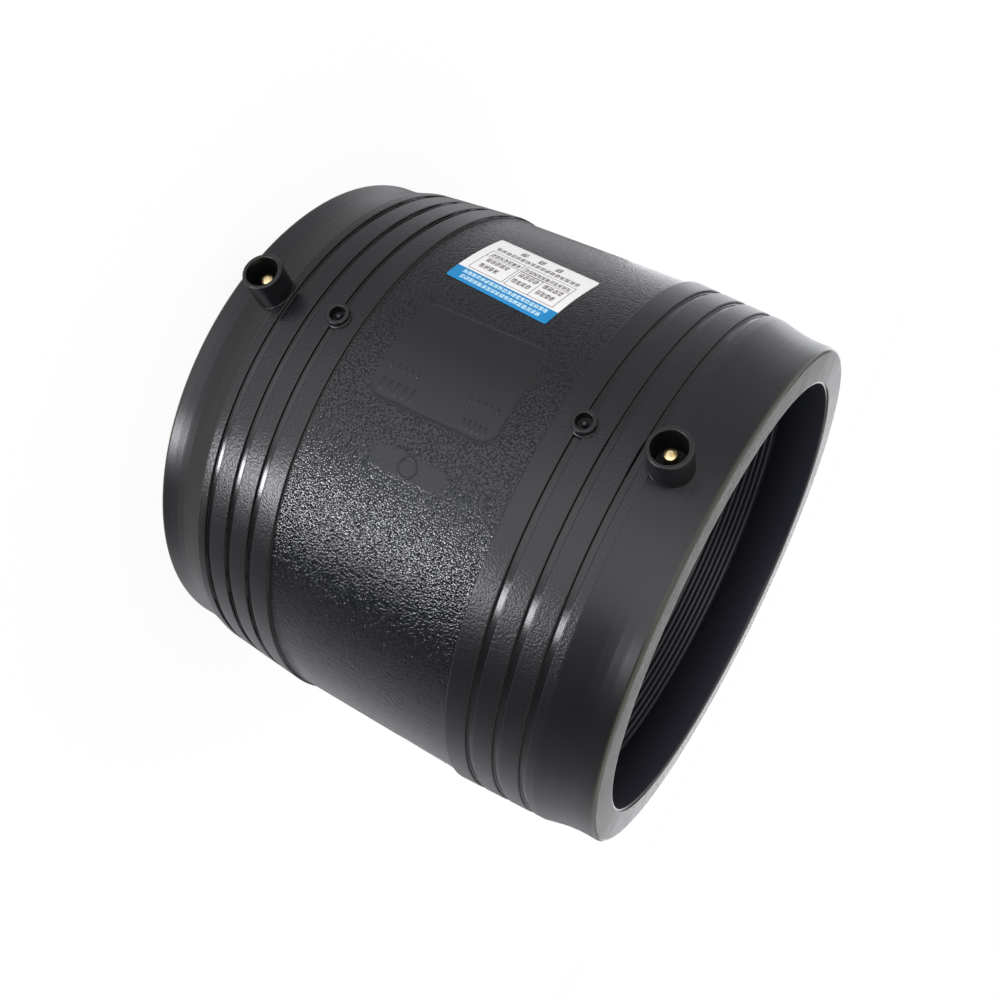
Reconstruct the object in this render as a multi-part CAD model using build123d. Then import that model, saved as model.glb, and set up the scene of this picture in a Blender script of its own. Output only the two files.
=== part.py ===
from build123d import *
import os

# Electrofusion coupler for polyethylene pipe, in millimetres.
# The pipe axis is +Z, the lower end face lies on z = 0 and both terminals face -Y.
# Both halves are alike, so a size ending in _e is a distance from either end face.

# Pipe sockets
pipe_d = 160.0            # outside diameter of the pipes that are joined
pipe_play = 0.8           # radial room between a pipe and the bore
length = 176.0            # from end face to end face

# Wall of the moulding, measured outward from the bore
nose_wall = 12.5          # plain nose behind each end face
shoulder_wall = 15.2      # outer end of the grooved collar
collar_wall = 17.2        # inner end of the grooved collar
barrel_wall = 16.2        # textured barrel between the collars
nose_bevel = 1.2          # broken outer edge of each end face
nose_e = 9.5              # where the nose begins to swell
shoulder_e = 20.0         # where the swelling meets the collar
collar_e = 52.2           # where the collar steps down to the barrel

# Grooves around each collar
groove_count = 3
groove_e = 24.4           # centre of the outermost groove
groove_pitch = 9.5
groove_width = 2.45
groove_depth = 1.1

# Heating winding, a coated wire wound close along a stretch of each socket
winding_e = 17.6          # where the first turn begins
wire_pitch = 2.0          # one turn to the next
wire_turns = 13
coat_thickness = 2.0      # from the crown of a turn to the seat behind it
bridge_d = 1.2            # bare wire that joins the two windings inside the wall

# Terminals, a brass contact pin inside a moulded shroud
terminal_lead = 1.8       # the terminal's axis lies this far before the first turn
shroud_d = 13.3
shroud_hole_d = 10.6
shroud_height = 13.0      # rim above the plain nose
shroud_depth = 12.0       # rim to the floor around the pin
shroud_edge = 0.5         # broken outer edge of the rim
contact_d = 4.0
contact_inset = 4.0       # tip of the pin below the rim
contact_bevel = 0.5       # tapered tip
anchor_d = 5.5            # stouter root of the pin, held in the wall

# Fusion indicators, a small pin in a low boss on the innermost groove
boss_d = 7.8
boss_height = 1.9         # rim above the collar
boss_hole_d = 5.2
boss_depth = 3.2          # rim to the floor around the pin
indicator_d = 2.0
indicator_inset = 1.0     # tip of the pin below the rim
indicator_foot = 2.4      # wall left between the pin and the winding

# Smooth field on the barrel, between the terminals
field_margin = 12.8       # barrel left at each end of the field
field_width = 36.0
field_round = 5.0
field_depth = 0.3

# Printed label on the barrel
label_margin = 15.8       # barrel left at each end of the label
label_width = 29.0
label_round = 0.8
label_thickness = 0.2
label_drop = 3.0          # its centre below mid-length
label_azimuth = -115.5
label_turn = -6.0         # the label sits a little askew

# Radii and places that follow from the sizes above
bore_r = pipe_d / 2 + pipe_play
nose_r = bore_r + nose_wall
shoulder_r = bore_r + shoulder_wall
collar_r = bore_r + collar_wall
barrel_r = bore_r + barrel_wall
seat_r = bore_r + coat_thickness
winding_length = wire_turns * wire_pitch
barrel_length = length - 2 * collar_e
terminal_e = winding_e - terminal_lead
shroud_rim_r = nose_r + shroud_height
shroud_floor_r = shroud_rim_r - shroud_depth
last_groove_e = groove_e + (groove_count - 1) * groove_pitch


def collar_surface(e):
    """Radius of the tapered collar at a distance e from its end face."""
    share = (e - shoulder_e) / (collar_e - shoulder_e)
    return shoulder_r + share * (collar_r - shoulder_r)


boss_rim_r = collar_surface(last_groove_e) + boss_height
boss_floor_r = boss_rim_r - boss_depth


def both_heights(e):
    """The heights that lie a distance e from the lower and the upper end face."""
    return e, length - e


def facing_out(z, r=0, azimuth=-90):
    """A plane at height z and radius r that looks straight away from the pipe axis."""
    out = Vector(1, 0, 0).rotate(Axis.Z, azimuth)
    return Plane(origin=out * r + Vector(0, 0, z), x_dir=Vector(0, 0, 1).cross(out), z_dir=out)


def round_bar(z, diameter, r_from, r_to):
    """A bar that runs outward at the terminals' side, from one radius to another."""
    bar = Cylinder(diameter / 2, r_to - r_from, align=(Align.CENTER, Align.CENTER, Align.MIN))
    return facing_out(z, r_from) * bar


def tube(r_in, r_out):
    """A full-length tube around the pipe axis."""
    stand = (Align.CENTER, Align.CENTER, Align.MIN)
    return Cylinder(r_out, length, align=stand) - Cylinder(r_in, length, align=stand)


def ring_section(r_in, r_out, z, height):
    """The rectangle whose turn around the pipe axis is a ring, centred at height z."""
    return Plane.XZ * Pos((r_in + r_out) / 2, z) * Rectangle(r_out - r_in, height)


def shell_section():
    """Half the section of the moulding, with its collars, grooves and winding seats."""
    lower = [
        (bore_r, 0),
        (nose_r, 0),
        (nose_r, nose_e),
        (shoulder_r, shoulder_e),
        (collar_r, collar_e),
        (barrel_r, collar_e),
    ]
    upper = [(r, length - z) for r, z in reversed(lower)]
    section = make_face(Plane.XZ * Polyline(*lower, *upper, close=True))
    outer = section.vertices().filter_by_position(Axis.X, (bore_r + nose_r) / 2, collar_r)
    corners = outer.sort_by(Axis.Z)
    section = chamfer([corners[0], corners[-1]], nose_bevel)
    for i in range(groove_count):
        e = groove_e + i * groove_pitch
        floor_r = collar_surface(e) - groove_depth
        for z in both_heights(e):
            section -= ring_section(floor_r, collar_r + groove_depth, z, groove_width)
    for z in both_heights(winding_e + winding_length / 2):
        section -= ring_section(bore_r - coat_thickness, seat_r, z, winding_length)
    return section


def bridge_wire():
    """The straight stretch of wire that joins the two windings inside the wall."""
    run = length - 2 * (winding_e + winding_length)
    wire = Cylinder(bridge_d / 2, run)
    return Pos(0, -(bore_r + seat_r) / 2, length / 2) * wire


def coupler_body():
    """The polyethylene moulding, one piece with its shrouds and indicator bosses."""
    body = revolve(shell_section(), axis=Axis.Z)
    for z in both_heights(terminal_e):
        shroud = round_bar(z, shroud_d, seat_r + coat_thickness, shroud_rim_r)
        rim = shroud.edges().sort_by(Axis.Y)[0]
        body += chamfer(rim, shroud_edge)
    for z in both_heights(last_groove_e):
        body += round_bar(z, boss_d, seat_r + coat_thickness, boss_rim_r)
    for z in both_heights(terminal_e):
        body -= round_bar(z, shroud_hole_d, shroud_floor_r, shroud_rim_r)
        body -= round_bar(z, anchor_d, seat_r, shroud_floor_r)
    for z in both_heights(last_groove_e):
        body -= round_bar(z, boss_hole_d, boss_floor_r, boss_rim_r)
        body -= round_bar(z, indicator_d, seat_r + indicator_foot, boss_floor_r)
    body -= bridge_wire()
    body -= smooth_field()
    return body


def smooth_field():
    """What the shallow field takes off the barrel: a rounded rectangle between the terminals."""
    skin = tube(barrel_r - field_depth, barrel_r + field_depth)
    outline = RectangleRounded(field_width, barrel_length - 2 * field_margin, field_round)
    return skin & extrude(facing_out(length / 2) * outline, barrel_r + field_depth)


def heating_winding():
    """Both windings and the wire between them. The close turns are one sleeve, crown to seat."""
    winding = bridge_wire()
    for z in both_heights(winding_e + winding_length / 2):
        section = ring_section(bore_r, seat_r, z, winding_length)
        winding += revolve(section, axis=Axis.Z)
    return winding


def terminal_pin(z):
    """Brass contact: a pin with a tapered tip on a stouter root that meets the winding."""
    pin = round_bar(z, contact_d, shroud_floor_r, shroud_rim_r - contact_inset)
    pin = chamfer(pin.edges().sort_by(Axis.Y)[0], contact_bevel)
    return pin + round_bar(z, anchor_d, seat_r, shroud_floor_r)


def indicator_pin(z):
    """Polyethylene pin that molten material pushes out of its boss when the joint is made."""
    return round_bar(z, indicator_d, seat_r + indicator_foot, boss_rim_r - indicator_inset)


def printed_label():
    """Thin label that follows the barrel."""
    skin = tube(barrel_r, barrel_r + label_thickness)
    outline = RectangleRounded(label_width, barrel_length - 2 * label_margin, label_round)
    seat = facing_out(length / 2 - label_drop, 0, label_azimuth)
    reach = barrel_r + 2 * label_thickness
    return skin & extrude(seat * Rot(0, 0, label_turn) * outline, reach)


os.makedirs("parts", exist_ok=True)
lower_terminal, upper_terminal = both_heights(terminal_e)
lower_indicator, upper_indicator = both_heights(last_groove_e)
export_step(coupler_body(), "parts/coupler_body.step")
export_step(heating_winding(), "parts/heating_winding.step")
export_step(terminal_pin(lower_terminal), "parts/terminal_pin_lower.step")
export_step(terminal_pin(upper_terminal), "parts/terminal_pin_upper.step")
export_step(indicator_pin(lower_indicator), "parts/indicator_pin_lower.step")
export_step(indicator_pin(upper_indicator), "parts/indicator_pin_upper.step")
export_step(printed_label(), "parts/label.step")
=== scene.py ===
import math
import bpy
import numpy as np
from mathutils import Matrix


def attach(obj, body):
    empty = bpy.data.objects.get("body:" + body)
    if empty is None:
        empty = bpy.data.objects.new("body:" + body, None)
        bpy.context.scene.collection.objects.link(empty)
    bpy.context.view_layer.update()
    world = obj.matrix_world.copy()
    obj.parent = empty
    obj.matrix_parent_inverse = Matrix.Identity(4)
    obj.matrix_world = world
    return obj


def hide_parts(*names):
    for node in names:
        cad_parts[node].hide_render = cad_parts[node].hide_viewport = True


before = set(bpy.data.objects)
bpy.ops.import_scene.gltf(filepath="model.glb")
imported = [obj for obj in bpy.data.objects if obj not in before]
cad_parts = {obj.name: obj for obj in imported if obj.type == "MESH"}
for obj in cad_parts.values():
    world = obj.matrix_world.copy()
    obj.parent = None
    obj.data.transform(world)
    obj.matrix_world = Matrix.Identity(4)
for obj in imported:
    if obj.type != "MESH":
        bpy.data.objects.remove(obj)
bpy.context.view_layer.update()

mm = 0.001      # every size below is in millimetres, every azimuth in degrees

# Electrofusion coupler standing on one end, pipe axis +Z, both terminals on the -Y side.
# An "e" in a name is a distance from either end face.
coupler = {
    "length": 176.0, "bore": 80.8, "nose": 93.3, "shoulder": 96.0, "collar": 98.0, "barrel": 97.0, "seat": 82.8,
    "noseE": 9.5, "shoulderE": 20.0, "collarE": 52.2,
    "grooveE": (24.4, 33.9, 43.4), "grooveWidth": 2.45, "grooveDepth": 1.1,
    "windingE": 17.6, "windingLength": 26.0,
    "endRound": 1.2,        # outer corner of each end face
    "mouthRound": 0.8,      # inner corner of each end face
    "swellRound": 40.0,     # soft blend between nose and swelling
    "shoulderRound": 2.0,   # firmer one between swelling and collar
    "edgeRound": 0.3,       # edges of the grooves and steps
}
field = {"halfWidth": 18.0, "halfHeight": 23.0, "round": 5.0, "depth": 0.3}
patch = {"azimuth": -70.0, "z": 89.5, "halfHeight": 14.0, "halfWidth": 3.9, "round": 3.9, "rise": 0.06}


# Straight runs through the corners (radius, height, rounding). Each rounding is an arc whose centre lies on
# the corner's bisector, at rounding / sin(half the inner angle) from the corner.
def roundedProfile(corners, arcSteps=3, closed=False, support=0.22):
    points = []
    count = len(corners)
    for i, (r, z, rounding) in enumerate(corners):
        here = np.array((r, z), float)
        if rounding == 0 or (not closed and i in (0, count - 1)):
            points.append(here)
            continue
        before = np.array(corners[i - 1][:2], float) - here
        after = np.array(corners[(i + 1) % count][:2], float) - here
        before /= np.linalg.norm(before)
        after /= np.linalg.norm(after)
        half = math.acos(np.clip(before @ after, -1, 1)) / 2
        bisector = (before + after) / np.linalg.norm(before + after)
        centre = here + bisector * rounding / math.sin(half)
        tangent = rounding / math.tan(half)
        first = (here + before * tangent - centre) / rounding
        last = (here + after * tangent - centre) / rounding
        sweep = math.acos(np.clip(first @ last, -1, 1))
        share = np.linspace(0, 1, arcSteps + 1)[:, None]
        arc = (np.sin((1 - share) * sweep) * first + np.sin(share * sweep) * last) / math.sin(sweep)
        points.append(here + before * (tangent + support))
        points.extend(centre + rounding * arc)
        points.append(here + after * (tangent + support))
    return np.array(points)


# Joins point grids into one mesh. A grid has rows x columns points, one quad between neighbours. It closes on
# itself over its columns, and also over its rows or at a pole beyond its first and last row.
def buildPiece(name, grids, material, replaces):
    places, faces, values = [], [], {}
    offset = 0
    for grid in grids:
        points = grid["points"]
        rows, columns = points.shape[:2]
        index = np.arange(rows * columns).reshape(rows, columns) + offset
        following = np.roll(index, -1, 1)
        low, lowNext = (index, following) if grid.get("closeRows") else (index[:-1], following[:-1])
        high, highNext = (np.roll(side, -1, 0)[:len(low)] for side in (index, following))
        quads = np.stack((low, lowNext, highNext, high), -1).reshape(-1, 4)
        parts = [quads.tolist()]
        added = [points.reshape(-1, 3)]
        top = offset + rows * columns
        for row, pole in ((0, grid.get("firstPole")), (-1, grid.get("lastPole"))):
            if pole is None:
                continue
            added.append(np.array(pole, float)[None])
            fan = np.stack((index[row], following[row], np.full(columns, top)), -1)
            parts.append((fan[:, ::-1] if row == 0 else fan).tolist())
            top += 1
        block = np.concatenate(added)
        faceList = [face for part in parts for face in part]
        if signedVolume(block, faceList, offset) < 0:
            faceList = [face[::-1] for face in faceList]
        places.append(block)
        faces.extend(faceList)
        for key, value in grid.get("values", {}).items():
            atPoles = np.zeros(len(block) - value.size)
            values.setdefault(key, []).append(np.concatenate((value.reshape(-1), atPoles)))
        offset += len(block)
    mesh = bpy.data.meshes.new(name)
    mesh.from_pydata((np.concatenate(places) * mm).tolist(), [], faces)
    for key, value in values.items():
        mesh.attributes.new(key, "FLOAT", "POINT").data.foreach_set("value", np.concatenate(value))
    mesh.polygons.foreach_set("use_smooth", np.full(len(mesh.polygons), True))
    mesh.materials.append(material)
    mesh.update()
    piece = bpy.data.objects.new(name, mesh)
    bpy.context.scene.collection.objects.link(piece)
    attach(piece, "root")
    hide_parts(*replaces)
    return piece


# A sixth of the sum of p0 . (p1 x p2) over the triangles: positive where the faces look outwards.
def signedVolume(block, faceList, offset):
    total = 0.0
    for corners in (3, 4):
        chosen = np.array([face for face in faceList if len(face) == corners], int)
        if len(chosen) == 0:
            continue
        p = block[chosen - offset]
        for second in range(1, corners - 1):
            total += np.einsum("ij,ij->i", p[:, 0], np.cross(p[:, second], p[:, second + 1])).sum() / 6
    return total


# Distance from a rounded rectangle: outside part of |p| - (half - rounding), plus its inside part, minus rounding.
def rectangleDistance(x, y, halfX, halfY, rounding):
    qx = np.abs(x) - halfX + rounding
    qy = np.abs(y) - halfY + rounding
    return np.hypot(np.maximum(qx, 0), np.maximum(qy, 0)) + np.minimum(np.maximum(qx, qy), 0) - rounding


# Smooth step 3t^2 - 2t^3 of t, which runs from 0 at the first edge to 1 at the second.
def smoothStep(first, second, x):
    t = np.clip((x - first) / (second - first), 0, 1)
    return t * t * (3 - 2 * t)


# Radius of the tapered collar at a distance e from its end face.
def collarRadius(e):
    share = (e - coupler["shoulderE"]) / (coupler["collarE"] - coupler["shoulderE"])
    return coupler["shoulder"] + share * (coupler["collar"] - coupler["shoulder"])


# Corners of the outer profile from the lower end face to the upper one, with or without the grooves.
def outerCorners(grooved):
    c = coupler
    edge, halfWidth = c["edgeRound"], c["grooveWidth"] / 2
    lower = [(c["nose"], 0, c["endRound"]), (c["nose"], c["noseE"], c["swellRound"]),
             (c["shoulder"], c["shoulderE"], c["shoulderRound"])]
    for e in c["grooveE"] if grooved else ():
        floor = collarRadius(e) - c["grooveDepth"]
        lower += [(collarRadius(e - halfWidth), e - halfWidth, edge), (floor, e - halfWidth, edge),
                  (floor, e + halfWidth, edge), (collarRadius(e + halfWidth), e + halfWidth, edge)]
    lower += [(c["collar"], c["collarE"], edge), (c["barrel"], c["collarE"], edge)]
    return lower + [(r, c["length"] - z, rounding) for r, z, rounding in reversed(lower)]


skinCorners = [(coupler["bore"], 0, 0)] + outerCorners(False) + [(coupler["bore"], coupler["length"], 0)]
skinProfile = roundedProfile(skinCorners, 6)[1:-1]


# Height of the skin without its grooves above the pipe axis, seen along Y: square root of (radius at z)^2 - x^2.
def skinHeight(x, z):
    radius = np.interp(z, skinProfile[:, 1], skinProfile[:, 0])
    return np.sqrt(radius ** 2 - x ** 2)


def bothHeights(e):
    return e, coupler["length"] - e


def linearColour(hexCode):
    parts = [int(hexCode[i:i + 2], 16) / 255 for i in (1, 3, 5)]
    return [v / 12.92 if v <= 0.04045 else ((v + 0.055) / 1.055) ** 2.4 for v in parts] + [1.0]


# Adds one node, with its settings, and its inputs as values or as links.
def addNode(tree, kind, settings=(), inputs=()):
    node = tree.nodes.new(kind)
    for key, value in dict(settings).items():
        setattr(node, key, value)
    for key, value in dict(inputs).items():
        if isinstance(value, bpy.types.NodeSocket):
            tree.links.new(value, node.inputs[key])
        else:
            node.inputs[key].default_value = value
    return node


def newMaterial(name):
    material = bpy.data.materials.new(name)
    material.use_nodes = True
    tree = material.node_tree
    shader = tree.nodes["Principled BSDF"]
    return material, tree, shader


# Moulded black polyethylene: polished nose and grooves, satin ribs, leather-grained barrel, turned end faces.
# The mesh says where: grain is 0 on smooth parts, ribGrain on the ribs, and 1 on the barrel.
polyethylene = {
    # the bore's colour is painted light: lighter than the black, standing in for stray light inside the bore
    "colour": "#0F1012", "boreColourPaintedLight": "#34353D", "cutColour": "#3B382E", "ior": 1.52,
    "smoothRoughness": 0.262, "leatherRoughness": 0.08, "cutRoughness": 0.12, "grooveRoughness": 0.13,
    "holeRoughness": 0.55, "uneven": 0.06,
    "ribGrain": 0.35, "leatherFrom": 0.4,          # above the second, grain turns into leather
    "leatherCell": 0.74, "leatherDepth": -0.16,    # domes of the leather grain
    "leatherFine": 0.07,                           # fine grain on the domes
    "bendCell": 1.5, "bend": 0.5,                  # pushes the domes out of line
    "valleyFrom": 0.28, "valleyTo": 0.65, "plainGloss": 0.5, "grainGloss": 0.62, "valleyGloss": 0.33,
    "satinCell": 0.8, "satinDepth": 0.1,           # fine grain of the ribs, drawn twice as coarse as real to show
    "peelDepth": 0.012,                            # the same grain, fainter, on the smooth parts
    "wave": 16.0, "waveDepth": 0.06,               # slow unevenness left by shrinkage
    "cutPitch": 0.5, "cutDepth": 0.003,            # tool marks on the end faces
}


def blackPolyethylene(name, settings):
    material, tree, shader = newMaterial(name)
    place = addNode(tree, "ShaderNodeTexCoord").outputs["Object"]
    grain, cut, gloss, bore, matte = (addNode(tree, "ShaderNodeAttribute", {"attribute_name": key}).outputs["Fac"]
                                      for key in ("grain", "cut", "gloss", "bore", "matte"))
    scale = {key: 1 / (settings[key] * mm) for key in ("bendCell", "leatherCell", "satinCell", "wave")}
    bend = addNode(tree, "ShaderNodeTexNoise", {}, {"Vector": place, "Scale": scale["bendCell"], "Detail": 1.0})
    shift = addNode(tree, "ShaderNodeVectorMath", {"operation": "MULTIPLY_ADD"},
                    {0: bend.outputs["Color"], 1: (settings["bend"] * mm,) * 3, 2: place}).outputs[0]
    leather = addNode(tree, "ShaderNodeTexVoronoi", {"feature": "SMOOTH_F1"},
                      {"Vector": shift, "Scale": scale["leatherCell"], "Smoothness": 0.2}).outputs["Distance"]
    fine = addNode(tree, "ShaderNodeTexNoise", {}, {"Vector": place, "Scale": scale["satinCell"], "Detail": 2.0})
    slow = addNode(tree, "ShaderNodeTexNoise", {}, {"Vector": place, "Scale": scale["wave"], "Detail": 1.0})

    # rings on the end faces: sine of 2 pi radius / pitch, the radius being the root of x^2 + y^2
    axes = addNode(tree, "ShaderNodeSeparateXYZ", {}, {0: place}).outputs
    across = addNode(tree, "ShaderNodeMath", {"operation": "MULTIPLY"}, {0: axes["X"], 1: axes["X"]})
    radius = addNode(tree, "ShaderNodeMath", {"operation": "MULTIPLY_ADD"},
                     {0: axes["Y"], 1: axes["Y"], 2: across.outputs[0]})
    radius = addNode(tree, "ShaderNodeMath", {"operation": "SQRT"}, {0: radius.outputs[0]})
    rings = addNode(tree, "ShaderNodeMath", {"operation": "MULTIPLY"},
                    {0: radius.outputs[0], 1: 2 * math.pi / (settings["cutPitch"] * mm)})
    rings = addNode(tree, "ShaderNodeMath", {"operation": "SINE"}, {0: rings.outputs[0]})

    # height in millimetres: domes, whose height falls with the square of the distance, fine grain, rings and wave
    leatherHeight = addNode(tree, "ShaderNodeMapRange", {},
                            {"Value": grain, "From Min": settings["leatherFrom"], "To Max": settings["leatherDepth"]})
    satinHeight = addNode(tree, "ShaderNodeMapRange", {},
                          {"Value": grain, "From Max": settings["ribGrain"],
                           "To Min": settings["peelDepth"], "To Max": settings["satinDepth"]})
    fineHeight = addNode(tree, "ShaderNodeMapRange", {},
                         {"Value": grain, "From Min": settings["leatherFrom"],
                          "To Min": satinHeight.outputs[0], "To Max": settings["leatherFine"]})
    cutHeight = addNode(tree, "ShaderNodeMath", {"operation": "MULTIPLY"}, {0: cut, 1: settings["cutDepth"]})
    dome = addNode(tree, "ShaderNodeMath", {"operation": "POWER"}, {0: leather, 1: 2.0})
    height = addNode(tree, "ShaderNodeMath", {"operation": "MULTIPLY"},
                     {0: dome.outputs[0], 1: leatherHeight.outputs[0]})
    for pattern, share in ((fine.outputs["Fac"], fineHeight.outputs[0]), (rings.outputs[0], cutHeight.outputs[0]),
                           (slow.outputs["Fac"], settings["waveDepth"])):
        height = addNode(tree, "ShaderNodeMath", {"operation": "MULTIPLY_ADD"},
                         {0: pattern, 1: share, 2: height.outputs[0]})
    bump = addNode(tree, "ShaderNodeBump", {}, {"Height": height.outputs[0], "Distance": mm, "Strength": 1.0})

    # painted light: inside the bore the black gives way to a lighter colour that stands in for stray light there
    skin = addNode(tree, "ShaderNodeMix", {"data_type": "RGBA"},
                   {0: bore, 6: linearColour(settings["colour"]), 7: linearColour(settings["boreColourPaintedLight"])})
    tone = addNode(tree, "ShaderNodeMix", {"data_type": "RGBA"},
                   {0: cut, 6: skin.outputs[2], 7: linearColour(settings["cutColour"])})

    # roughness: smooth, leather or cut, then the grooves' and holes' own, then a slow unevenness on top
    rough = addNode(tree, "ShaderNodeMapRange", {},
                    {"Value": grain, "From Min": settings["leatherFrom"],
                     "To Min": settings["smoothRoughness"], "To Max": settings["leatherRoughness"]})
    rough = addNode(tree, "ShaderNodeMapRange", {},
                    {"Value": cut, "To Min": rough.outputs[0], "To Max": settings["cutRoughness"]})
    for amount, change in ((gloss, settings["grooveRoughness"] - settings["smoothRoughness"]),
                           (matte, settings["holeRoughness"] - settings["smoothRoughness"]),
                           (slow.outputs["Fac"], settings["uneven"])):
        rough = addNode(tree, "ShaderNodeMath", {"operation": "MULTIPLY_ADD"},
                        {0: amount, 1: change, 2: rough.outputs[0]})

    # the valleys between the grains hide part of the room, so they shine less
    valley = addNode(tree, "ShaderNodeMapRange", {},
                     {"Value": leather, "From Min": settings["valleyFrom"], "From Max": settings["valleyTo"],
                      "To Min": settings["grainGloss"], "To Max": settings["valleyGloss"]})
    shine = addNode(tree, "ShaderNodeMapRange", {},
                    {"Value": grain, "From Min": settings["leatherFrom"],
                     "To Min": settings["plainGloss"], "To Max": valley.outputs[0]})
    for socket, source in (("Base Color", tone.outputs[2]), ("Roughness", rough.outputs[0]),
                           ("Normal", bump.outputs[0]), ("Specular IOR Level", shine.outputs[0])):
        tree.links.new(source, shader.inputs[socket])
    shader.inputs["IOR"].default_value = settings["ior"]
    return material


# Polyethylene coat that is drawn over the resistance wire: plain black, but lightened as painted light that stands in
# for stray light in the bore, a little darker than the bore around it.
wireCoat = {"colour": "#24252A", "ior": 1.52, "roughness": 0.27, "scuff": 0.08, "scuffSize": 3.0}


def coatedWire(name, settings):
    material, tree, shader = newMaterial(name)
    place = addNode(tree, "ShaderNodeTexCoord").outputs["Object"]
    scuff = addNode(tree, "ShaderNodeTexNoise", {},
                    {"Vector": place, "Scale": 1 / (settings["scuffSize"] * mm), "Detail": 3.0})
    rough = addNode(tree, "ShaderNodeMath", {"operation": "MULTIPLY_ADD"},
                    {0: scuff.outputs["Fac"], 1: settings["scuff"], 2: settings["roughness"]})
    tree.links.new(rough.outputs[0], shader.inputs["Roughness"])
    shader.inputs["Base Color"].default_value = linearColour(settings["colour"])
    shader.inputs["IOR"].default_value = settings["ior"]
    return material


# Turned brass: yellow metal with fine tool rings and a slight tarnish in random spots.
brass = {
    "colour": "#FBE3AE", "tarnish": "#D9B06A", "roughness": 0.28, "ringPitch": 0.25, "ringDepth": 0.006,
    "tarnishSize": 1.6, "tarnishFrom": 0.5, "tarnishTo": 0.75,
}


def turnedBrass(name, settings):
    material, tree, shader = newMaterial(name)
    place = addNode(tree, "ShaderNodeTexCoord").outputs["Object"]
    axes = addNode(tree, "ShaderNodeSeparateXYZ", {}, {0: place}).outputs
    rings = addNode(tree, "ShaderNodeMath", {"operation": "MULTIPLY"},
                    {0: axes["Y"], 1: 2 * math.pi / (settings["ringPitch"] * mm)})
    rings = addNode(tree, "ShaderNodeMath", {"operation": "SINE"}, {0: rings.outputs[0]})
    bump = addNode(tree, "ShaderNodeBump", {}, {"Height": rings.outputs[0], "Distance": settings["ringDepth"] * mm})
    spots = addNode(tree, "ShaderNodeTexNoise", {},
                    {"Vector": place, "Scale": 1 / (settings["tarnishSize"] * mm), "Detail": 3.0})
    amount = addNode(tree, "ShaderNodeMapRange", {},
                     {"Value": spots.outputs["Fac"], "From Min": settings["tarnishFrom"],
                      "From Max": settings["tarnishTo"]})
    tone = addNode(tree, "ShaderNodeMix", {"data_type": "RGBA"},
                   {0: amount.outputs[0], 6: linearColour(settings["colour"]), 7: linearColour(settings["tarnish"])})
    tree.links.new(tone.outputs[2], shader.inputs["Base Color"])
    tree.links.new(bump.outputs[0], shader.inputs["Normal"])
    shader.inputs["Metallic"].default_value = 1.0
    shader.inputs["Roughness"].default_value = settings["roughness"]
    return material


# Printed polypropylene film: white with a blue band, plain rows of marks and a ruled table, all in millimetres
# on the label. u runs along the rows, v from the band's edge across the label.
labelPrint = {
    "white": "#FBF8F6", "band": "#0088C6", "ink": "#625A60", "pale": "#D2F2FF", "bandWidth": 6.3,
    # centre v, height, first u, last u, marks
    "darkRows": [(25.6, 2.5, 11.0, 30.5, 3), (22.3, 2.0, 3.4, 36.5, 17),
                 (17.9, 2.0, 4.6, 16.0, 7), (17.9, 2.0, 18.4, 36.0, 11),
                 (14.4, 2.3, 5.4, 14.2, 5), (10.6, 2.3, 5.4, 12.6, 4),
                 (14.4, 2.3, 18.6, 26.0, 4), (10.6, 2.3, 18.6, 25.6, 4),
                 (14.4, 2.3, 28.4, 35.6, 4), (10.6, 2.3, 28.4, 35.0, 4)],
    "paleRows": [(4.7, 1.7, 3.6, 37.0, 19), (2.2, 1.7, 4.4, 36.0, 18)],
    # first u, last u, first v, last v of the table's cells
    "cells": [(3.2, 16.9, 7.2, 20.2), (17.7, 37.2, 7.2, 20.2), (3.2, 16.9, 16.2, 20.2),
              (17.7, 37.2, 16.2, 20.2), (17.7, 27.2, 7.2, 16.2)],
    "line": 0.24, "roughness": 0.38, "ior": 1.49,
    "markCell": 0.42, "inkFrom": 0.45,      # specks that break the marks up
    "markGap": 0.25, "markShare": 0.82, "titleShare": 0.34, "titleMarks": 3,
}


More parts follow.
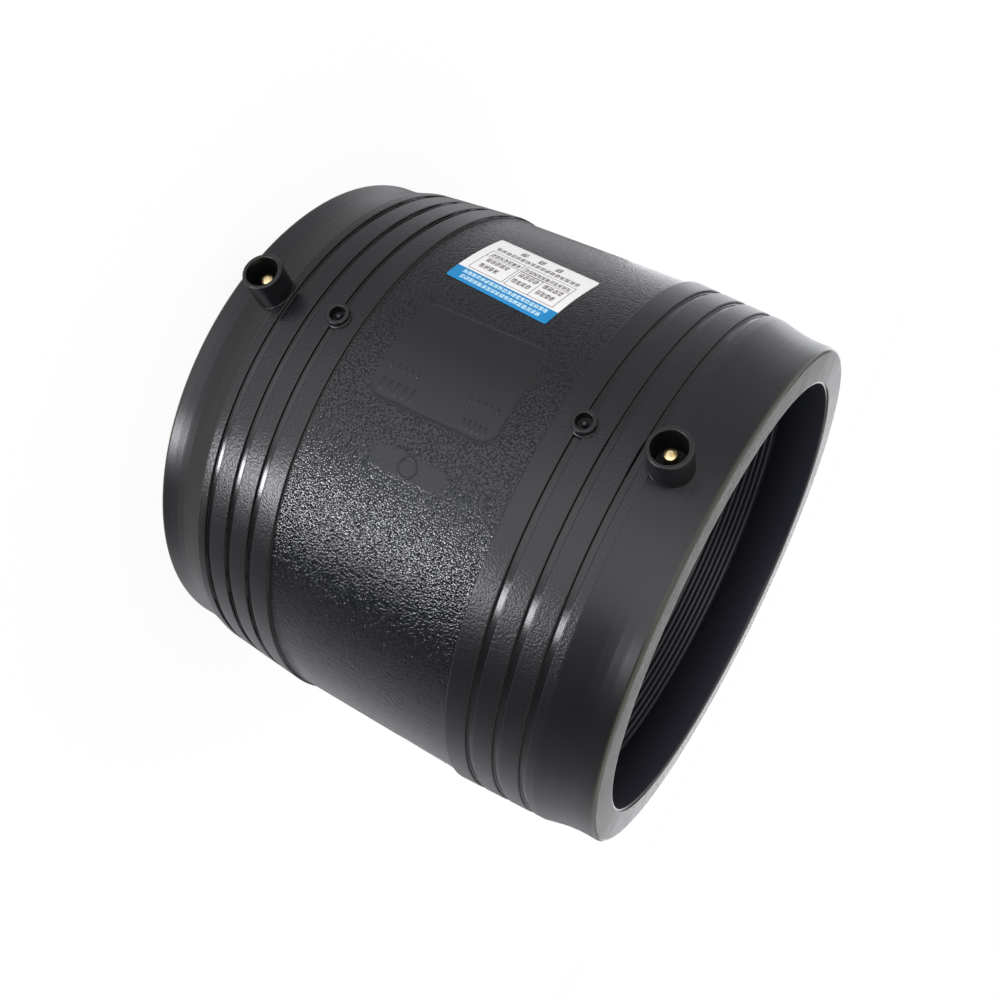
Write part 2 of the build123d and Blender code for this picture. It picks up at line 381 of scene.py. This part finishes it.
def printedFilm(name, settings, width, height):
    material, tree, shader = newMaterial(name)
    place = addNode(tree, "ShaderNodeUVMap", {"uv_map": "UVMap"}).outputs[0]
    axes = addNode(tree, "ShaderNodeSeparateXYZ", {}, {0: place}).outputs
    u = addNode(tree, "ShaderNodeMath", {"operation": "MULTIPLY"}, {0: axes["X"], 1: width}).outputs[0]
    v = addNode(tree, "ShaderNodeMath", {"operation": "MULTIPLY"}, {0: axes["Y"], 1: height}).outputs[0]
    onLabel = addNode(tree, "ShaderNodeCombineXYZ", {}, {0: u, 1: v}).outputs[0]
    speck = addNode(tree, "ShaderNodeTexNoise", {},
                    {"Vector": onLabel, "Scale": 1 / settings["markCell"], "Detail": 1.0}).outputs["Fac"]
    ink = addNode(tree, "ShaderNodeMath", {"operation": "GREATER_THAN"},
                  {0: speck, 1: settings["inkFrom"]}).outputs[0]

    def inside(uFrom, uTo, vFrom, vTo):
        sides = [addNode(tree, "ShaderNodeMath", {"operation": "COMPARE"},
                         {0: axis, 1: (first + last) / 2, 2: (last - first) / 2}).outputs[0]
                 for axis, first, last in ((u, uFrom, uTo), (v, vFrom, vTo))]
        return addNode(tree, "ShaderNodeMath", {"operation": "MULTIPLY"}, {0: sides[0], 1: sides[1]}).outputs[0]

    # a row of marks: the row's rectangle, cut into equal marks with gaps, and broken up by the specks
    def rowOfMarks(vMiddle, tall, uFrom, uTo, marks):
        row = inside(uFrom, uTo, vMiddle - tall / 2, vMiddle + tall / 2)
        step = (uTo - uFrom) / (marks - settings["markGap"])
        share = addNode(tree, "ShaderNodeMath", {"operation": "MULTIPLY_ADD"},
                        {0: u, 1: 1 / step, 2: -uFrom / step})
        share = addNode(tree, "ShaderNodeMath", {"operation": "FRACT"}, {0: share.outputs[0]})
        wide = settings["markShare"] if marks > settings["titleMarks"] else settings["titleShare"]
        mark = addNode(tree, "ShaderNodeMath", {"operation": "COMPARE"},
                       {0: share.outputs[0], 1: wide / 2, 2: wide / 2})
        for mask in (row, ink):
            mark = addNode(tree, "ShaderNodeMath", {"operation": "MULTIPLY"}, {0: mark.outputs[0], 1: mask})
        return mark.outputs[0]

    def frameLine(uFrom, uTo, vFrom, vTo):
        line = settings["line"]
        outer = inside(uFrom, uTo, vFrom, vTo)
        inner = inside(uFrom + line, uTo - line, vFrom + line, vTo - line)
        return addNode(tree, "ShaderNodeMath", {"operation": "SUBTRACT"}, {0: outer, 1: inner}).outputs[0]

    def together(masks):
        total = masks[0]
        for mask in masks[1:]:
            total = addNode(tree, "ShaderNodeMath", {"operation": "MAXIMUM"}, {0: total, 1: mask}).outputs[0]
        return total

    dark = together([rowOfMarks(*row) for row in settings["darkRows"]]
                    + [frameLine(*cell) for cell in settings["cells"]])
    pale = together([rowOfMarks(*row) for row in settings["paleRows"]])
    band = addNode(tree, "ShaderNodeMath", {"operation": "LESS_THAN"}, {0: v, 1: settings["bandWidth"]}).outputs[0]
    tone = linearColour(settings["white"])
    for mask, colour in ((band, "band"), (dark, "ink"), (pale, "pale")):
        tone = addNode(tree, "ShaderNodeMix", {"data_type": "RGBA"},
                       {0: mask, 6: tone, 7: linearColour(settings[colour])}).outputs[2]
    tree.links.new(tone, shader.inputs["Base Color"])
    shader.inputs["Roughness"].default_value = settings["roughness"]
    shader.inputs["IOR"].default_value = settings["ior"]
    return material


mouldedBlack = blackPolyethylene("mouldedPolyethylene", polyethylene)
windingCoat = coatedWire("wireCoat", wireCoat)
contactBrass = turnedBrass("turnedBrass", brass)
print("materials of the moulding, wire and contacts made")

# Sizes across are radii from the part's own axis; rim, floor, pinTip and pinRoot are radii from the pipe axis.
terminals = {
    "e": 15.8, "outer": 6.65, "hole": 5.3, "rim": 106.3, "floor": 94.3, "edge": 0.5, "innerEdge": 0.35, "foot": 0.3,
    "pin": 2.0, "pinTip": 102.3, "dome": 0.5, "crown": 1.1, "crownDrop": 0.08, "root": 2.75,
}
bosses = {
    "e": 43.4, "outer": 3.9, "hole": 2.6, "rim": 99.353, "floor": 96.153, "edge": 0.4, "innerEdge": 0.25, "foot": 0.5,
    "pin": 1.0, "pinTip": 98.353, "pinRound": 0.85, "pinRoot": 85.2,
}

shellMesh = {
    "lastAzimuth": -60.0,       # fine columns run from the far side of the field to here
    "fineColumn": 0.4, "coarseColumn": 2.2,
    # first e, last e, step of the extra rows: terminals, bosses, grained barrel, field
    "rows": [(3.5, 9, 2.0), (9.2, 23, 0.55), (38.6, 48.6, 0.5), (50.5, 51, 1.0), (54, 64, 3.0), (66, 72, 0.9),
             (72.5, 88, 1.1)],
    "fieldRows": (-0.45, -0.15, 0.15, 0.45),        # across the field's end
    "outsideFrom": 90.0, "boreTo": 84.0,            # radii that tell the outer skin and the bore
    "fieldSlope": 0.45, "patchSlope": 0.5,          # half the width of the slopes round the field and the patch
    "patchFlatter": 0.45,                           # share of the leather grain that the patch lacks
    "ribEdge": 0.35,                                # a groove's side begins this far below the rib
    "underFloor": 0.6,                              # the skin passes this far under a shroud's or boss's floor
}


# Heights of the extra rows: close together at the terminals, bosses, field edges and smooth patch.
def extraHeights():
    fieldEnd = coupler["length"] / 2 - field["halfHeight"]
    rows = [np.arange(*row) for row in shellMesh["rows"]] + [fieldEnd + np.array(shellMesh["fieldRows"])]
    lower = np.concatenate(rows)
    return np.unique(np.concatenate((lower, coupler["length"] - lower)))


# The closed profile of the wall: the outer corners up, then the bore down with its two winding seats.
def shellProfile():
    c = coupler
    corners = outerCorners(True) + [(c["bore"], c["length"], c["mouthRound"])]
    for high in (c["length"] - c["windingE"], c["windingE"] + c["windingLength"]):
        low = high - c["windingLength"]
        corners += [(c["bore"], high, 0), (c["seat"], high, 0), (c["seat"], low, 0), (c["bore"], low, 0)]
    points = roundedProfile(corners + [(c["bore"], 0, c["mouthRound"])], 3, closed=True)
    heights = extraHeights()
    dense = []
    for start, end in zip(points, np.roll(points, -1, 0)):
        dense.append(start)
        if min(start[0], end[0]) > shellMesh["outsideFrom"] and end[1] - start[1] > 0.8:
            inner = heights[(heights > start[1] + 0.2) & (heights < end[1] - 0.2)]
            share = (inner - start[1]) / (end[1] - start[1])
            dense.extend(start + share[:, None] * (end - start))
    return np.array(dense)


def shellAzimuths():
    last = shellMesh["lastAzimuth"]
    first = -90 - (last + 90) / 2 + 1.0
    fine = np.arange(first, last, shellMesh["fineColumn"])
    coarse = np.linspace(last, first + 360, int((360 + first - last) / shellMesh["coarseColumn"]) + 1)
    return np.radians(np.concatenate((fine, coarse[:-1])))


# The profile turned round the pipe axis: x = r cos(azimuth), y = r sin(azimuth). The radius drops inside the
# field, rises inside the patch, and drops under the holes of the shrouds and bosses, whose own floors stand there.
def makeShell():
    profile = shellProfile()
    azimuth = shellAzimuths()
    r, azimuths = np.meshgrid(profile[:, 0], azimuth, indexing="ij")
    z = np.repeat(profile[:, 1][:, None], len(azimuth), 1)
    outside = r > shellMesh["outsideFrom"]
    front = np.sin(azimuths) < 0
    x = r * np.cos(azimuths)
    middle = coupler["length"] / 2
    inField = rectangleDistance(x, z - middle, field["halfWidth"], field["halfHeight"], field["round"])
    fieldMask = smoothStep(shellMesh["fieldSlope"], -shellMesh["fieldSlope"], inField) * front * outside
    sideways = (azimuths - np.radians(patch["azimuth"])) * coupler["barrel"]
    inPatch = rectangleDistance(sideways, z - patch["z"], patch["halfWidth"], patch["halfHeight"], patch["round"])
    patchMask = smoothStep(shellMesh["patchSlope"], -shellMesh["patchSlope"], inPatch) * outside
    r = r - field["depth"] * fieldMask + patch["rise"] * patchMask
    for part in (terminals, bosses):
        for height in bothHeights(part["e"]):
            away = np.hypot(x, z - height)
            under = smoothStep(part["outer"] - 0.2, part["hole"] + 0.1, away) * front * outside
            r = r + under * (np.minimum(r, part["floor"] - shellMesh["underFloor"]) - r)
    e = np.minimum(z, coupler["length"] - z)
    onBarrel = smoothStep(coupler["collarE"] + 0.2, coupler["collarE"] + 0.6, e)
    ribTop = np.minimum(collarRadius(e), coupler["collar"]) - shellMesh["ribEdge"]
    onRib = (e > coupler["shoulderE"] - 0.3) & (e < coupler["collarE"] + 0.2) & (r > ribTop)
    rougher = np.maximum(onBarrel, polyethylene["ribGrain"] * onRib)
    grain = rougher * (1 - fieldMask) * (1 - shellMesh["patchFlatter"] * patchMask) * outside
    cut = (1 - smoothStep(coupler["endRound"] - 0.1, coupler["endRound"] + 0.05, e)) * (r > coupler["bore"] + 0.1)
    inGroove = (e > coupler["shoulderE"]) & (e < coupler["collarE"] - 0.5) & (r < ribTop) * outside
    inBore = r < shellMesh["boreTo"]
    points = np.stack((r * np.cos(azimuths), r * np.sin(azimuths), z), -1)
    values = {"grain": grain, "cut": cut, "gloss": inGroove.astype(float), "bore": inBore.astype(float)}
    grid = {"points": points, "closeRows": True, "values": values}
    return buildPiece("couplerShell", [grid], mouldedBlack, ["coupler_body"])


shell = makeShell()
print("shell:", len(shell.data.vertices), "points")


# A circle about an outward axis, its points at the given radius from the axis and distance from the pipe axis.
def circleAt(rho, turn, height, out):
    return np.stack((rho * np.cos(turn), -out + 0 * turn, height + rho * np.sin(turn)), -1)


# How a cup ends: the fillet sinks a little into the skin, tucks in below it, and a small circle closes the bottom.
cup = {"floorRound": 0.3, "sink": 0.02, "tuck": 0.8, "bottom": 2.2, "bottomShare": 0.9}


# A cup turned round an outward axis at the given height. Rows follow the floor, the hole, the rounded rim and
# the outer wall; the wall ends in a fillet, radius + foot (1 - cos t) across and skin + foot (1 - sin t) high,
# so it follows the round skin; the last rows close the cup inside the wall of the moulding.
def cupGrid(part, height, columns):
    turn = np.linspace(0, 2 * np.pi, columns, endpoint=False)
    wall = [(0.01, part["floor"], 0), (part["hole"], part["floor"], cup["floorRound"]),
            (part["hole"], part["rim"], part["innerEdge"]), (part["outer"], part["rim"], part["edge"]),
            (part["outer"], part["rim"] - 2 * part["edge"], 0)]
    rings = [circleAt(rho, turn, height, h) for rho, h in roundedProfile(wall, 4, support=0.12)]
    foot = part["foot"]
    for t in np.linspace(0, np.pi / 2, 7):
        rho = part["outer"] + foot * (1 - np.cos(t))
        level = skinHeight(rho * np.cos(turn), height + rho * np.sin(turn)) + foot * (1 - np.sin(t))
        rings.append(circleAt(rho, turn, height, level - cup["sink"]))
    rho = part["outer"] + foot
    level = skinHeight(rho * np.cos(turn), height + rho * np.sin(turn))
    rings.append(circleAt(rho, turn, height, level - cup["tuck"]))
    bottom = part["floor"] - cup["bottom"]
    rings.append(circleAt(cup["bottomShare"] * part["hole"], turn, height, bottom))
    points = np.array(rings)
    inHole = np.hypot(points[..., 0], points[..., 2] - height) < part["hole"] + 0.05
    matte = inHole & (-points[..., 1] < part["rim"] - 0.5)
    return {"points": points, "firstPole": (0, -part["floor"], height), "lastPole": (0, -bottom, height),
            "values": {"matte": matte.astype(float)}}


for name, part, columns in (("terminalShroud", terminals, 72), ("indicatorBoss", bosses, 48)):
    for place, height in zip(("Lower", "Upper"), bothHeights(part["e"])):
        grid = cupGrid(part, height, columns)
        buildPiece(name + place, [grid], mouldedBlack, ["coupler_body"])
print("shrouds and indicator bosses made")


# A bar turned round an outward axis: rows run from its root to its rounded tip, each a circle.
def pinGrid(profile, height, columns=40):
    turn = np.linspace(0, 2 * np.pi, columns, endpoint=False)
    rho, h = profile[:, 0][:, None], profile[:, 1][:, None]
    points = np.stack((rho * np.cos(turn), np.repeat(-h, columns, 1), height + rho * np.sin(turn)), -1)
    return {"points": points, "firstPole": (0, -profile[0, 1], height), "lastPole": (0, -profile[-1, 1], height)}


t = terminals
contact = [(0.01, coupler["seat"], 0), (t["root"], coupler["seat"], 0.2), (t["root"], t["floor"], 0.2),
           (t["pin"], t["floor"], 0), (t["pin"], t["pinTip"] - t["dome"], 0.3),
           (t["crown"], t["pinTip"] - t["crownDrop"], 0.8), (0.01, t["pinTip"], 0)]
contact = roundedProfile(contact, 5, support=0.08)
for place, height in zip(("Lower", "Upper"), bothHeights(t["e"])):
    buildPiece("contactPin" + place, [pinGrid(contact, height)], contactBrass,
               ["terminal_pin_" + place.lower()])

b = bosses
indicator = [(0.01, b["pinRoot"], 0), (b["pin"], b["pinRoot"], 0.1), (b["pin"], b["pinTip"], b["pinRound"]),
             (0.01, b["pinTip"], 0)]
indicator = roundedProfile(indicator, 5, support=0.06)
for place, height in zip(("Lower", "Upper"), bothHeights(b["e"])):
    buildPiece("indicatorPin" + place, [pinGrid(indicator, height, 24)], windingCoat,
               ["indicator_pin_" + place.lower()])
print("contact and indicator pins made")

winding = {
    "pitch": 2.0, "valley": 0.3, "sharpness": 2.5, "samples": 9, "columns": 150,
    "fade": 0.6, "endDepth": 0.12,                  # the turns fade at each end of the sleeve
    "bridge": 0.6, "bridgeSink": 0.3,               # radius of the bare wire, how far it goes into the turns
}


# Turns of the coated wire: the bore radius plus a valley depth times ((1 + cos 2 pi phase) / 2) ^ sharpness, where
# the phase is height / pitch + azimuth / full turn, so the valleys climb as a helix; the back lies on the seat.
def windingGrid(start):
    c = coupler
    end = start + c["windingLength"]
    z = np.linspace(start, end, int(c["windingLength"] / winding["pitch"] * winding["samples"]))[:, None]
    azimuth = np.linspace(0, 2 * np.pi, winding["columns"], endpoint=False)[None, :]
    phase = (z - start) / winding["pitch"] + azimuth / (2 * np.pi)
    valley = winding["valley"] * ((1 + np.cos(2 * np.pi * phase)) / 2) ** winding["sharpness"]
    fade = smoothStep(0, winding["fade"], z - start) * smoothStep(0, winding["fade"], end - z)
    r = c["bore"] + np.maximum(valley * fade, winding["endDepth"] * (1 - fade))
    front = np.stack((r * np.cos(azimuth), r * np.sin(azimuth), z + 0 * azimuth), -1)
    x, y = c["seat"] * np.cos(azimuth[0]), c["seat"] * np.sin(azimuth[0])
    back = np.stack([np.stack((x, y, level + 0 * x), -1) for level in (end, start)])
    return {"points": np.concatenate((front, back)), "closeRows": True}


# The bare wire that joins the windings inside the wall.
def bridgeGrid(low, high):
    turn = np.linspace(0, 2 * np.pi, 12, endpoint=False)
    x, y = winding["bridge"] * np.cos(turn), winding["bridge"] * np.sin(turn)
    middle = (coupler["bore"] + coupler["seat"]) / 2
    points = np.stack([np.stack((x, y - middle, z + 0 * turn), -1) for z in (low, high)])
    return {"points": points, "firstPole": (0, -middle, low), "lastPole": (0, -middle, high)}


windingEnd = coupler["windingE"] + coupler["windingLength"]
grids = [windingGrid(start) for start in (coupler["windingE"], coupler["length"] - windingEnd)]
grids.append(bridgeGrid(windingEnd - winding["bridgeSink"], coupler["length"] - windingEnd + winding["bridgeSink"]))
heater = buildPiece("heatingCoil", grids, windingCoat, ["heating_winding"])
print("winding:", len(heater.data.vertices), "points")

marks = {
    # first height, step, count, x, length along the axis, size round the barrel of each row of raised bars
    "rows": [(68.8, 2.8, 5, 13.6, 1.4, 2.4), (99.0, 1.9, 5, 14.4, 1.1, 1.7),
             (68.6, 2.4, 5, 6.9, 0.7, 1.1), (97.6, 2.4, 5, 6.9, 0.7, 1.1)],
    "barHeight": 0.26, "barSink": 0.05, "barUnder": 0.3,        # sink of its edge and depth of its underside
    "ringRadius": 3.1, "ringWidth": 0.4, "ringHeight": 0.25,
}


# A low pillow on the skin: height (1 - a^4)(1 - b^4) over a rectangle of shares a and b from -1 to 1, closed below.
def pillowGrid(height, x, tall, wide, base):
    share = np.sin(np.linspace(-np.pi / 2, np.pi / 2, 9))
    a, b = share[:, None], share[None, :]
    azimuth = -np.arccos(x / base) + b * wide / base + 0 * a
    z = height + a * tall + 0 * b
    r = base - marks["barSink"] + marks["barHeight"] * (1 - a ** 4) * (1 - b ** 4)
    top = np.stack((r * np.cos(azimuth), r * np.sin(azimuth), z), -1)
    r = base - marks["barUnder"]
    under = np.stack((r * np.cos(azimuth), r * np.sin(azimuth), z), -1)[:, ::-1]
    return {"points": np.concatenate((top, under), 1), "firstPole": top[0].mean(0), "lastPole": top[-1].mean(0)}


# A thin ring on the patch: a circle of cross-sections whose centre follows the barrel.
def ringGrid():
    turn = np.linspace(0, 2 * np.pi, 48, endpoint=False)[:, None]
    section = np.linspace(0, 2 * np.pi, 10, endpoint=False)[None, :]
    reach = marks["ringRadius"] + marks["ringWidth"] * np.cos(section)
    azimuth = np.radians(patch["azimuth"]) + reach * np.cos(turn) / coupler["barrel"]
    r = coupler["barrel"] + patch["rise"] + marks["ringHeight"] * np.sin(section)
    points = np.stack((r * np.cos(azimuth), r * np.sin(azimuth), patch["z"] + reach * np.sin(turn)), -1)
    return {"points": points, "closeRows": True}


bars = [pillowGrid(low + i * step, x, tall / 2, wide, coupler["barrel"] - field["depth"])
        for low, step, count, x, tall, wide in marks["rows"] for i in range(count)]
buildPiece("raisedBars", bars, mouldedBlack, ["coupler_body"])
buildPiece("mouldRing", [ringGrid()], mouldedBlack, ["coupler_body"])
print("raised bars and mould ring made")

label = {
    "azimuth": -115.5, "z": 85.0, "width": 29.0, "height": 40.0, "round": 0.8, "turn": -6.0, "thickness": 0.2,
    "lift": 0.03,       # its underside stands this far off the barrel
}


# A thin sheet wrapped on the barrel. Each row is a loop, out over the top and back under it, as wide as the
# rounded rectangle is there; the sheet is turned a little in its plane before it is wrapped.
def labelGrid():
    half, tall, rounding = label["width"] / 2, label["height"] / 2, label["round"]
    ends = tall - rounding + rounding * np.sin(np.linspace(0, np.pi / 2, 8))
    up = np.concatenate((-ends[::-1], np.linspace(-tall + rounding, tall - rounding, 30)[1:-1], ends))
    past = np.maximum(np.abs(up) - tall + rounding, 0)
    wide = half - rounding + np.sqrt(np.maximum(rounding ** 2 - past ** 2, 0))
    share = np.linspace(-1, 1, 40)
    loop = np.concatenate((share, share[::-1]))
    side = loop[None, :] * wide[:, None]
    above = np.concatenate((np.full(40, label["thickness"]), np.full(40, label["lift"])))[None, :]
    turn = math.radians(label["turn"])
    along = up[:, None] * math.cos(turn) + side * math.sin(turn)
    across = side * math.cos(turn) - up[:, None] * math.sin(turn)
    r = coupler["barrel"] + above + 0 * along
    azimuth = math.radians(label["azimuth"]) + np.arcsin(across / coupler["barrel"])
    points = np.stack((r * np.cos(azimuth), r * np.sin(azimuth), label["z"] + along), -1)
    u = (up[:, None] + tall) / (2 * tall) + 0 * side
    v = (half - side) / (2 * half)
    return {"points": points, "firstPole": points[0].mean(0), "lastPole": points[-1].mean(0)}, u, v


film = printedFilm("printedFilm", labelPrint, label["height"], label["width"])
grid, u, v = labelGrid()
labelPiece = buildPiece("filmLabel", [grid], film, ["label"])
uvPoints = np.concatenate((np.stack((u, v), -1).reshape(-1, 2), [(0.0, 0.5), (1.0, 0.5)]))
corner = np.empty(len(labelPiece.data.loops), int)
labelPiece.data.loops.foreach_get("vertex_index", corner)
labelPiece.data.uv_layers.new(name="UVMap").data.foreach_set("uv", uvPoints[corner].reshape(-1))
print("label made")

view = {
    "azimuth": 16.29, "elevation": 21.34, "roll": 115.7, "aim": (8.2, -18.1, 90.5), "distance": 400.0,
    "lens": 39.81, "sensor": 36.0,
}


# The camera stands back from the aim point; its right side is turned by the roll about the line of sight.
def makeCamera():
    a, e, roll = (math.radians(view[key]) for key in ("azimuth", "elevation", "roll"))
    back = np.array((math.sin(a) * math.cos(e), -math.cos(a) * math.cos(e), math.sin(e)))
    level = np.array((math.cos(a), math.sin(a), 0))
    right = math.cos(roll) * level + math.sin(roll) * np.cross(back, level)
    up = np.cross(back, right)
    camera = bpy.data.objects.new("camera", bpy.data.cameras.new("camera"))
    bpy.context.scene.collection.objects.link(camera)
    matrix = np.eye(4)
    matrix[:3, 0], matrix[:3, 1], matrix[:3, 2] = right, up, back
    matrix[:3, 3] = (np.array(view["aim"]) + view["distance"] * back) * mm
    camera.matrix_world = Matrix(matrix.tolist())
    camera.data.lens = view["lens"]
    camera.data.sensor_width = view["sensor"]
    camera.data.clip_start = 0.01
    bpy.context.scene.camera = camera


makeCamera()

# Metres and degrees here. The card's stops are an azimuth and the brightness that the plastic sees there.
studio = {
    "floorSize": 8.0, "floorGlow": 0.9, "floorColour": "#FFFFFF", "floorShade": 0.13, "floorPaint": 0.8,
    "plugRadius": 0.086, "plugDrop": 0.0005,
    "tint": (0.975, 0.985, 1.03),
    "card": [(-180, 0.6), (-150, 0.6), (-122, 0.6), (-98, 1.15), (-76, 1.75), (-56, 1.75), (-40, 0.35),
             (-8, 0.1), (18, 0.3), (40, 0.62), (66, 0.66), (96, 0.12), (126, 0.12), (152, 0.85)],
    "cardRadius": 1.6, "cardLow": -3.6, "cardHigh": 1.1, "cardGain": 2.0,
    "footTone": 0.5, "footFrom": -1.7, "footTo": -1.15,         # the card's even lower part
    "panel": {"radius": 1.5, "first": 84, "last": 156, "low": -0.45, "high": 0.4, "glow": 1.7},
    "window": {"azimuth": -34, "elevation": -33, "distance": 1.3, "wide": 0.19, "tall": 0.3, "radiance": 26.0},
    "windowHead": {"azimuth": -36, "elevation": -17, "distance": 1.3, "wide": 0.19, "tall": 0.3, "radiance": 16.0},
}


def stagePiece(name, points, faces, material):
    mesh = bpy.data.meshes.new(name)
    mesh.from_pydata(np.array(points).tolist(), [], faces)
    mesh.materials.append(material)
    piece = bpy.data.objects.new(name, mesh)
    bpy.context.scene.collection.objects.link(piece)
    return piece


# An upright wall in metres: the same run of points at two heights, joined by quads, all the way round or not.
def uprightWall(name, turn, radius, low, high, material, closed):
    ring = np.stack((np.cos(turn) * radius, np.sin(turn) * radius), -1)
    count = len(turn)
    points = np.concatenate([np.column_stack((ring, np.full(count, z))) for z in (low, high)])
    index = np.arange(count if closed else count - 1)
    following = (index + 1) % count
    faces = np.stack((index, following, following + count, index + count), -1).tolist()
    wall = stagePiece(name, points, faces, material)
    wall.visible_camera = False
    wall.visible_shadow = False
    return wall


# The floor is lit as a pale diffuse surface and glows a little for the camera, so the object's shadow stays faint.
def makeFloor():
    material, tree, shader = newMaterial("floorPaint")
    tree.nodes.remove(shader)
    ray = addNode(tree, "ShaderNodeLightPath").outputs["Is Camera Ray"]
    glow = addNode(tree, "ShaderNodeEmission", {},
                   {"Color": linearColour(studio["floorColour"]), "Strength": studio["floorGlow"]})
    shade = addNode(tree, "ShaderNodeBsdfDiffuse", {}, {"Color": (studio["floorShade"],) * 3 + (1.0,)})
    seen = addNode(tree, "ShaderNodeAddShader", {}, {0: glow.outputs[0], 1: shade.outputs[0]})
    paint = addNode(tree, "ShaderNodeBsdfDiffuse", {}, {"Color": (studio["floorPaint"],) * 3 + (1.0,)})
    both = addNode(tree, "ShaderNodeMixShader", {}, {0: ray, 1: paint.outputs[0], 2: seen.outputs[0]})
    tree.links.new(both.outputs[0], tree.nodes["Material Output"].inputs["Surface"])
    half = studio["floorSize"] / 2
    corners = [(-half, -half, 0), (half, -half, 0), (half, half, 0), (-half, half, 0)]
    floor = stagePiece("floor", corners, [(0, 1, 2, 3)], material)
    floor.visible_glossy = False
    floor.visible_shadow = False
    # a round of floor under the bore keeps light out of it from below
    turn = np.linspace(0, 2 * np.pi, 64, endpoint=False)
    x, y = studio["plugRadius"] * np.cos(turn), studio["plugRadius"] * np.sin(turn)
    stagePiece("floorPlug", np.stack((x, y, 0 * turn - studio["plugDrop"]), -1), [list(range(64))], material)


# A round card about the object that only reflections and soft light see. Its brightness follows the azimuth.
def makeCard():
    material, tree, shader = newMaterial("studioCard")
    tree.nodes.remove(shader)
    place = addNode(tree, "ShaderNodeTexCoord").outputs["Object"]
    axes = addNode(tree, "ShaderNodeSeparateXYZ", {}, {0: place}).outputs
    azimuth = addNode(tree, "ShaderNodeMath", {"operation": "ARCTAN2"}, {0: axes["Y"], 1: axes["X"]}).outputs[0]
    share = addNode(tree, "ShaderNodeMapRange", {},
                    {"Value": azimuth, "From Min": -math.pi, "From Max": math.pi}).outputs[0]
    ramp = addNode(tree, "ShaderNodeValToRGB", {}, {"Fac": share})
    ramp.color_ramp.interpolation = "EASE"
    stops = ramp.color_ramp.elements
    for i, (angle, brightness) in enumerate(studio["card"]):
        stop = stops[i] if i < 2 else stops.new((angle + 180) / 360)
        stop.position = (angle + 180) / 360
        stop.color = [brightness / studio["cardGain"] * part for part in studio["tint"]] + [1.0]
    level = addNode(tree, "ShaderNodeMapRange", {"interpolation_type": "SMOOTHSTEP"},
                    {"Value": axes["Z"], "From Min": studio["footFrom"], "From Max": studio["footTo"]}).outputs[0]
    light = addNode(tree, "ShaderNodeEmission", {}, {"Color": ramp.outputs[0], "Strength": studio["cardGain"]})
    foot = addNode(tree, "ShaderNodeEmission", {}, {"Strength": studio["footTone"]})
    both = addNode(tree, "ShaderNodeMixShader", {}, {0: level, 1: foot.outputs[0], 2: light.outputs[0]})
    tree.links.new(both.outputs[0], tree.nodes["Material Output"].inputs["Surface"])
    turn = np.linspace(0, 2 * np.pi, 96, endpoint=False)
    low, high = studio["cardLow"], studio["cardHigh"]
    card = uprightWall("studioCard", turn, studio["cardRadius"], low, high, material, True)
    card.visible_transmission = False


# A bright upright panel behind the object, part of a cylinder: the white wall that shows low in the mouth's face.
def makePanel():
    settings = studio["panel"]
    material, tree, shader = newMaterial("whiteWall")
    tree.nodes.remove(shader)
    light = addNode(tree, "ShaderNodeEmission", {},
                    {"Color": studio["tint"] + (1.0,), "Strength": settings["glow"]})
    tree.links.new(light.outputs[0], tree.nodes["Material Output"].inputs["Surface"])
    turn = np.radians(np.linspace(settings["first"], settings["last"], 24))
    uprightWall("whiteWall", turn, settings["radius"], settings["low"], settings["high"], material, False)


# A soft lamp stands at an azimuth and elevation seen from the object's middle and faces it.
def makeLamp(name, settings):
    a, e = math.radians(settings["azimuth"]), math.radians(settings["elevation"])
    away = np.array((math.cos(a) * math.cos(e), math.sin(a) * math.cos(e), math.sin(e)))
    lamp = bpy.data.lights.new(name, "AREA")
    lamp.shape = "RECTANGLE"
    lamp.size, lamp.size_y = settings["wide"], settings["tall"]
    lamp.color = studio["tint"]
    lamp.energy = settings["radiance"] * math.pi * settings["wide"] * settings["tall"]
    side = np.array((-math.sin(a), math.cos(a), 0))
    matrix = np.eye(4)
    matrix[:3, 0], matrix[:3, 1], matrix[:3, 2] = side, np.cross(away, side), away
    matrix[:3, 3] = away * settings["distance"] + np.array((0, 0, coupler["length"] / 2 * mm))
    holder = bpy.data.objects.new(name, lamp)
    holder.matrix_world = Matrix(matrix.tolist())
    holder.visible_camera = False
    bpy.context.scene.collection.objects.link(holder)


def makeWorld():
    world = bpy.data.worlds.new("paleRoom")
    world.use_nodes = True
    background = world.node_tree.nodes["Background"].inputs
    background["Color"].default_value = (1, 1, 1, 1)
    background["Strength"].default_value = 1.0
    bpy.context.scene.world = world


makeFloor()
makeCard()
makePanel()
makeLamp("windowLamp", studio["window"])
makeLamp("windowHead", studio["windowHead"])
makeWorld()
bpy.context.scene.view_settings.view_transform = "Standard"
print("camera, floor and light made")
